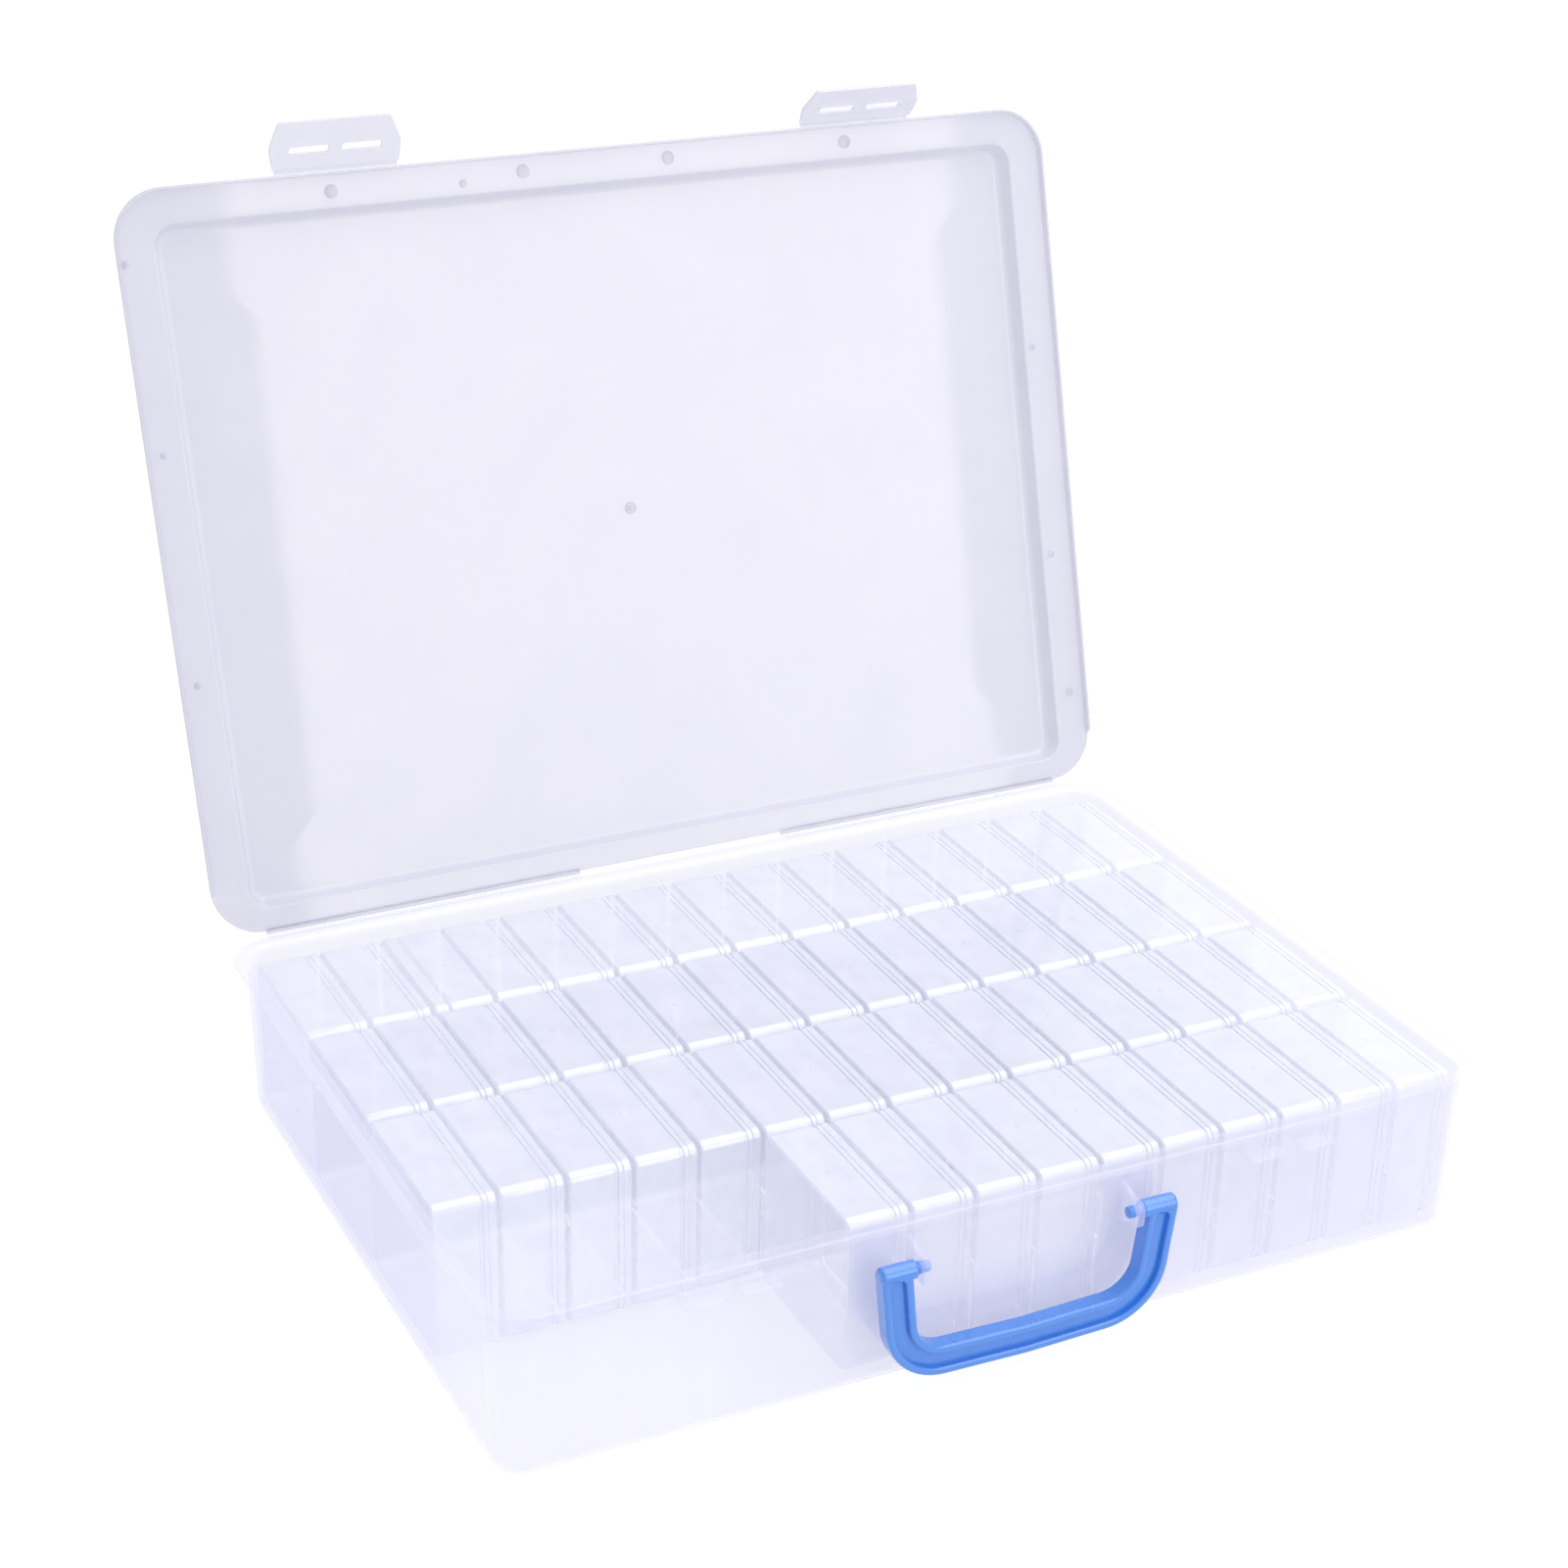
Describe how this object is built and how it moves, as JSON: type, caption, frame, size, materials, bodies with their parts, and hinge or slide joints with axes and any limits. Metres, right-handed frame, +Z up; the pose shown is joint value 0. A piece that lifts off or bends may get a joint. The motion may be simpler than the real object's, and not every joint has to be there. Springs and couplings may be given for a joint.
{
  "type": "bead storage box",
  "caption": "Shallow clear plastic case with a folding lid, two latch flaps and a blue carry handle, filled with rows of small flip-top boxes standing on edge.",
  "frame": {"origin": "middle of the case's underside, on the surface that it stands on", "axes": "+X to the right along the long front wall, +Y from the handle towards the hinge, +Z up"},
  "size_m": [0.348, 0.3309, 0.3186],
  "materials": {
    "clear_case": "clear, glossy moulded polypropylene with a faint cool haze",
    "clear_small_boxes": "clear, slightly cloudy moulded plastic, bright at the rounded edges",
    "blue_handle": "smooth blue plastic, satin to glossy"
  },
  "bodies": {
    "case": {"case_base": "clear_case"},
    "lid": {"case_lid": "clear_case"},
    "left_latch": {"latch_flap_left": "clear_case"},
    "right_latch": {"latch_flap_right": "clear_case"},
    "handle": {"carry_handle": "blue_handle"},
    "box_row1_col06": {"small_box_row1_col06": "clear_small_boxes"},
    "box_row1_col07": {"small_box_row1_col07": "clear_small_boxes"},
    "box_row1_col08": {"small_box_row1_col08": "clear_small_boxes"},
    "box_row1_col09": {"small_box_row1_col09": "clear_small_boxes"},
    "box_row1_col10": {"small_box_row1_col10": "clear_small_boxes"},
    "box_row1_col11": {"small_box_row1_col11": "clear_small_boxes"},
    "box_row1_col12": {"small_box_row1_col12": "clear_small_boxes"},
    "box_row1_col13": {"small_box_row1_col13": "clear_small_boxes"},
    "box_row1_col14": {"small_box_row1_col14": "clear_small_boxes"},
    "box_row1_col15": {"small_box_row1_col15": "clear_small_boxes"},
    "box_row2_col01": {"small_box_row2_col01": "clear_small_boxes"},
    "box_row2_col02": {"small_box_row2_col02": "clear_small_boxes"},
    "box_row2_col03": {"small_box_row2_col03": "clear_small_boxes"},
    "box_row2_col04": {"small_box_row2_col04": "clear_small_boxes"},
    "box_row2_col05": {"small_box_row2_col05": "clear_small_boxes"},
    "box_row2_col06": {"small_box_row2_col06": "clear_small_boxes"},
    "box_row2_col07": {"small_box_row2_col07": "clear_small_boxes"},
    "box_row2_col08": {"small_box_row2_col08": "clear_small_boxes"},
    "box_row2_col09": {"small_box_row2_col09": "clear_small_boxes"},
    "box_row2_col10": {"small_box_row2_col10": "clear_small_boxes"},
    "box_row2_col11": {"small_box_row2_col11": "clear_small_boxes"},
    "box_row2_col12": {"small_box_row2_col12": "clear_small_boxes"},
    "box_row2_col13": {"small_box_row2_col13": "clear_small_boxes"},
    "box_row2_col14": {"small_box_row2_col14": "clear_small_boxes"},
    "box_row2_col15": {"small_box_row2_col15": "clear_small_boxes"},
    "box_row3_col01": {"small_box_row3_col01": "clear_small_boxes"},
    "box_row3_col02": {"small_box_row3_col02": "clear_small_boxes"},
    "box_row3_col03": {"small_box_row3_col03": "clear_small_boxes"},
    "box_row3_col04": {"small_box_row3_col04": "clear_small_boxes"},
    "box_row3_col05": {"small_box_row3_col05": "clear_small_boxes"},
    "box_row3_col06": {"small_box_row3_col06": "clear_small_boxes"},
    "box_row3_col07": {"small_box_row3_col07": "clear_small_boxes"},
    "box_row3_col08": {"small_box_row3_col08": "clear_small_boxes"},
    "box_row3_col09": {"small_box_row3_col09": "clear_small_boxes"},
    "box_row3_col10": {"small_box_row3_col10": "clear_small_boxes"},
    "box_row3_col11": {"small_box_row3_col11": "clear_small_boxes"},
    "box_row3_col12": {"small_box_row3_col12": "clear_small_boxes"},
    "box_row3_col13": {"small_box_row3_col13": "clear_small_boxes"},
    "box_row3_col14": {"small_box_row3_col14": "clear_small_boxes"},
    "box_row3_col15": {"small_box_row3_col15": "clear_small_boxes"},
    "box_row4_col01": {"small_box_row4_col01": "clear_small_boxes"},
    "box_row4_col02": {"small_box_row4_col02": "clear_small_boxes"},
    "box_row4_col03": {"small_box_row4_col03": "clear_small_boxes"},
    "box_row4_col04": {"small_box_row4_col04": "clear_small_boxes"},
    "box_row4_col05": {"small_box_row4_col05": "clear_small_boxes"},
    "box_row4_col06": {"small_box_row4_col06": "clear_small_boxes"},
    "box_row4_col07": {"small_box_row4_col07": "clear_small_boxes"},
    "box_row4_col08": {"small_box_row4_col08": "clear_small_boxes"},
    "box_row4_col09": {"small_box_row4_col09": "clear_small_boxes"},
    "box_row4_col10": {"small_box_row4_col10": "clear_small_boxes"},
    "box_row4_col11": {"small_box_row4_col11": "clear_small_boxes"},
    "box_row4_col12": {"small_box_row4_col12": "clear_small_boxes"},
    "box_row4_col13": {"small_box_row4_col13": "clear_small_boxes"},
    "box_row4_col14": {"small_box_row4_col14": "clear_small_boxes"},
    "box_row4_col15": {"small_box_row4_col15": "clear_small_boxes"}
  },
  "joints": [
    {"name": "lid_hinge", "type": "hinge", "parent": "case", "child": "lid", "pos_m": [0, 0.1258, 0.05895], "axis": [-1, 0, 0], "range_deg": [-106.3, 0]},
    {"name": "left_latch_fold", "type": "hinge", "parent": "lid", "child": "left_latch", "pos_m": [-0.097, 0.19415, 0.30141], "axis": [-1, 0, 0], "range_deg": [-85, 65]},
    {"name": "right_latch_fold", "type": "hinge", "parent": "lid", "child": "right_latch", "pos_m": [0.097, 0.19415, 0.30141], "axis": [-1, 0, 0], "range_deg": [-55, 95]},
    {"name": "handle_swing", "type": "hinge", "parent": "case", "child": "handle", "pos_m": [0, -0.12695, 0.044], "axis": [-1, 0, 0], "range_deg": [-4, 150]},
    {"name": "box_row1_col06_lift", "type": "slide", "parent": "case", "child": "box_row1_col06", "axis": [0, 0, 1], "range_m": [0, 0.06]},
    {"name": "box_row1_col07_lift", "type": "slide", "parent": "case", "child": "box_row1_col07", "axis": [0, 0, 1], "range_m": [0, 0.06]},
    {"name": "box_row1_col08_lift", "type": "slide", "parent": "case", "child": "box_row1_col08", "axis": [0, 0, 1], "range_m": [0, 0.06]},
    {"name": "box_row1_col09_lift", "type": "slide", "parent": "case", "child": "box_row1_col09", "axis": [0, 0, 1], "range_m": [0, 0.06]},
    {"name": "box_row1_col10_lift", "type": "slide", "parent": "case", "child": "box_row1_col10", "axis": [0, 0, 1], "range_m": [0, 0.06]},
    {"name": "box_row1_col11_lift", "type": "slide", "parent": "case", "child": "box_row1_col11", "axis": [0, 0, 1], "range_m": [0, 0.06]},
    {"name": "box_row1_col12_lift", "type": "slide", "parent": "case", "child": "box_row1_col12", "axis": [0, 0, 1], "range_m": [0, 0.06]},
    {"name": "box_row1_col13_lift", "type": "slide", "parent": "case", "child": "box_row1_col13", "axis": [0, 0, 1], "range_m": [0, 0.06]},
    {"name": "box_row1_col14_lift", "type": "slide", "parent": "case", "child": "box_row1_col14", "axis": [0, 0, 1], "range_m": [0, 0.06]},
    {"name": "box_row1_col15_lift", "type": "slide", "parent": "case", "child": "box_row1_col15", "axis": [0, 0, 1], "range_m": [0, 0.06]},
    {"name": "box_row2_col01_lift", "type": "slide", "parent": "case", "child": "box_row2_col01", "axis": [0, 0, 1], "range_m": [0, 0.06]},
    {"name": "box_row2_col02_lift", "type": "slide", "parent": "case", "child": "box_row2_col02", "axis": [0, 0, 1], "range_m": [0, 0.06]},
    {"name": "box_row2_col03_lift", "type": "slide", "parent": "case", "child": "box_row2_col03", "axis": [0, 0, 1], "range_m": [0, 0.06]},
    {"name": "box_row2_col04_lift", "type": "slide", "parent": "case", "child": "box_row2_col04", "axis": [0, 0, 1], "range_m": [0, 0.06]},
    {"name": "box_row2_col05_lift", "type": "slide", "parent": "case", "child": "box_row2_col05", "axis": [0, 0, 1], "range_m": [0, 0.06]},
    {"name": "box_row2_col06_lift", "type": "slide", "parent": "case", "child": "box_row2_col06", "axis": [0, 0, 1], "range_m": [0, 0.06]},
    {"name": "box_row2_col07_lift", "type": "slide", "parent": "case", "child": "box_row2_col07", "axis": [0, 0, 1], "range_m": [0, 0.06]},
    {"name": "box_row2_col08_lift", "type": "slide", "parent": "case", "child": "box_row2_col08", "axis": [0, 0, 1], "range_m": [0, 0.06]},
    {"name": "box_row2_col09_lift", "type": "slide", "parent": "case", "child": "box_row2_col09", "axis": [0, 0, 1], "range_m": [0, 0.06]},
    {"name": "box_row2_col10_lift", "type": "slide", "parent": "case", "child": "box_row2_col10", "axis": [0, 0, 1], "range_m": [0, 0.06]},
    {"name": "box_row2_col11_lift", "type": "slide", "parent": "case", "child": "box_row2_col11", "axis": [0, 0, 1], "range_m": [0, 0.06]},
    {"name": "box_row2_col12_lift", "type": "slide", "parent": "case", "child": "box_row2_col12", "axis": [0, 0, 1], "range_m": [0, 0.06]},
    {"name": "box_row2_col13_lift", "type": "slide", "parent": "case", "child": "box_row2_col13", "axis": [0, 0, 1], "range_m": [0, 0.06]},
    {"name": "box_row2_col14_lift", "type": "slide", "parent": "case", "child": "box_row2_col14", "axis": [0, 0, 1], "range_m": [0, 0.06]},
    {"name": "box_row2_col15_lift", "type": "slide", "parent": "case", "child": "box_row2_col15", "axis": [0, 0, 1], "range_m": [0, 0.06]},
    {"name": "box_row3_col01_lift", "type": "slide", "parent": "case", "child": "box_row3_col01", "axis": [0, 0, 1], "range_m": [0, 0.06]},
    {"name": "box_row3_col02_lift", "type": "slide", "parent": "case", "child": "box_row3_col02", "axis": [0, 0, 1], "range_m": [0, 0.06]},
    {"name": "box_row3_col03_lift", "type": "slide", "parent": "case", "child": "box_row3_col03", "axis": [0, 0, 1], "range_m": [0, 0.06]},
    {"name": "box_row3_col04_lift", "type": "slide", "parent": "case", "child": "box_row3_col04", "axis": [0, 0, 1], "range_m": [0, 0.06]},
    {"name": "box_row3_col05_lift", "type": "slide", "parent": "case", "child": "box_row3_col05", "axis": [0, 0, 1], "range_m": [0, 0.06]},
    {"name": "box_row3_col06_lift", "type": "slide", "parent": "case", "child": "box_row3_col06", "axis": [0, 0, 1], "range_m": [0, 0.06]},
    {"name": "box_row3_col07_lift", "type": "slide", "parent": "case", "child": "box_row3_col07", "axis": [0, 0, 1], "range_m": [0, 0.06]},
    {"name": "box_row3_col08_lift", "type": "slide", "parent": "case", "child": "box_row3_col08", "axis": [0, 0, 1], "range_m": [0, 0.06]},
    {"name": "box_row3_col09_lift", "type": "slide", "parent": "case", "child": "box_row3_col09", "axis": [0, 0, 1], "range_m": [0, 0.06]},
    {"name": "box_row3_col10_lift", "type": "slide", "parent": "case", "child": "box_row3_col10", "axis": [0, 0, 1], "range_m": [0, 0.06]},
    {"name": "box_row3_col11_lift", "type": "slide", "parent": "case", "child": "box_row3_col11", "axis": [0, 0, 1], "range_m": [0, 0.06]},
    {"name": "box_row3_col12_lift", "type": "slide", "parent": "case", "child": "box_row3_col12", "axis": [0, 0, 1], "range_m": [0, 0.06]},
    {"name": "box_row3_col13_lift", "type": "slide", "parent": "case", "child": "box_row3_col13", "axis": [0, 0, 1], "range_m": [0, 0.06]},
    {"name": "box_row3_col14_lift", "type": "slide", "parent": "case", "child": "box_row3_col14", "axis": [0, 0, 1], "range_m": [0, 0.06]},
    {"name": "box_row3_col15_lift", "type": "slide", "parent": "case", "child": "box_row3_col15", "axis": [0, 0, 1], "range_m": [0, 0.06]},
    {"name": "box_row4_col01_lift", "type": "slide", "parent": "case", "child": "box_row4_col01", "axis": [0, 0, 1], "range_m": [0, 0.06]},
    {"name": "box_row4_col02_lift", "type": "slide", "parent": "case", "child": "box_row4_col02", "axis": [0, 0, 1], "range_m": [0, 0.06]},
    {"name": "box_row4_col03_lift", "type": "slide", "parent": "case", "child": "box_row4_col03", "axis": [0, 0, 1], "range_m": [0, 0.06]},
    {"name": "box_row4_col04_lift", "type": "slide", "parent": "case", "child": "box_row4_col04", "axis": [0, 0, 1], "range_m": [0, 0.06]},
    {"name": "box_row4_col05_lift", "type": "slide", "parent": "case", "child": "box_row4_col05", "axis": [0, 0, 1], "range_m": [0, 0.06]},
    {"name": "box_row4_col06_lift", "type": "slide", "parent": "case", "child": "box_row4_col06", "axis": [0, 0, 1], "range_m": [0, 0.06]},
    {"name": "box_row4_col07_lift", "type": "slide", "parent": "case", "child": "box_row4_col07", "axis": [0, 0, 1], "range_m": [0, 0.06]},
    {"name": "box_row4_col08_lift", "type": "slide", "parent": "case", "child": "box_row4_col08", "axis": [0, 0, 1], "range_m": [0, 0.06]},
    {"name": "box_row4_col09_lift", "type": "slide", "parent": "case", "child": "box_row4_col09", "axis": [0, 0, 1], "range_m": [0, 0.06]},
    {"name": "box_row4_col10_lift", "type": "slide", "parent": "case", "child": "box_row4_col10", "axis": [0, 0, 1], "range_m": [0, 0.06]},
    {"name": "box_row4_col11_lift", "type": "slide", "parent": "case", "child": "box_row4_col11", "axis": [0, 0, 1], "range_m": [0, 0.06]},
    {"name": "box_row4_col12_lift", "type": "slide", "parent": "case", "child": "box_row4_col12", "axis": [0, 0, 1], "range_m": [0, 0.06]},
    {"name": "box_row4_col13_lift", "type": "slide", "parent": "case", "child": "box_row4_col13", "axis": [0, 0, 1], "range_m": [0, 0.06]},
    {"name": "box_row4_col14_lift", "type": "slide", "parent": "case", "child": "box_row4_col14", "axis": [0, 0, 1], "range_m": [0, 0.06]},
    {"name": "box_row4_col15_lift", "type": "slide", "parent": "case", "child": "box_row4_col15", "axis": [0, 0, 1], "range_m": [0, 0.06]}
  ]
}
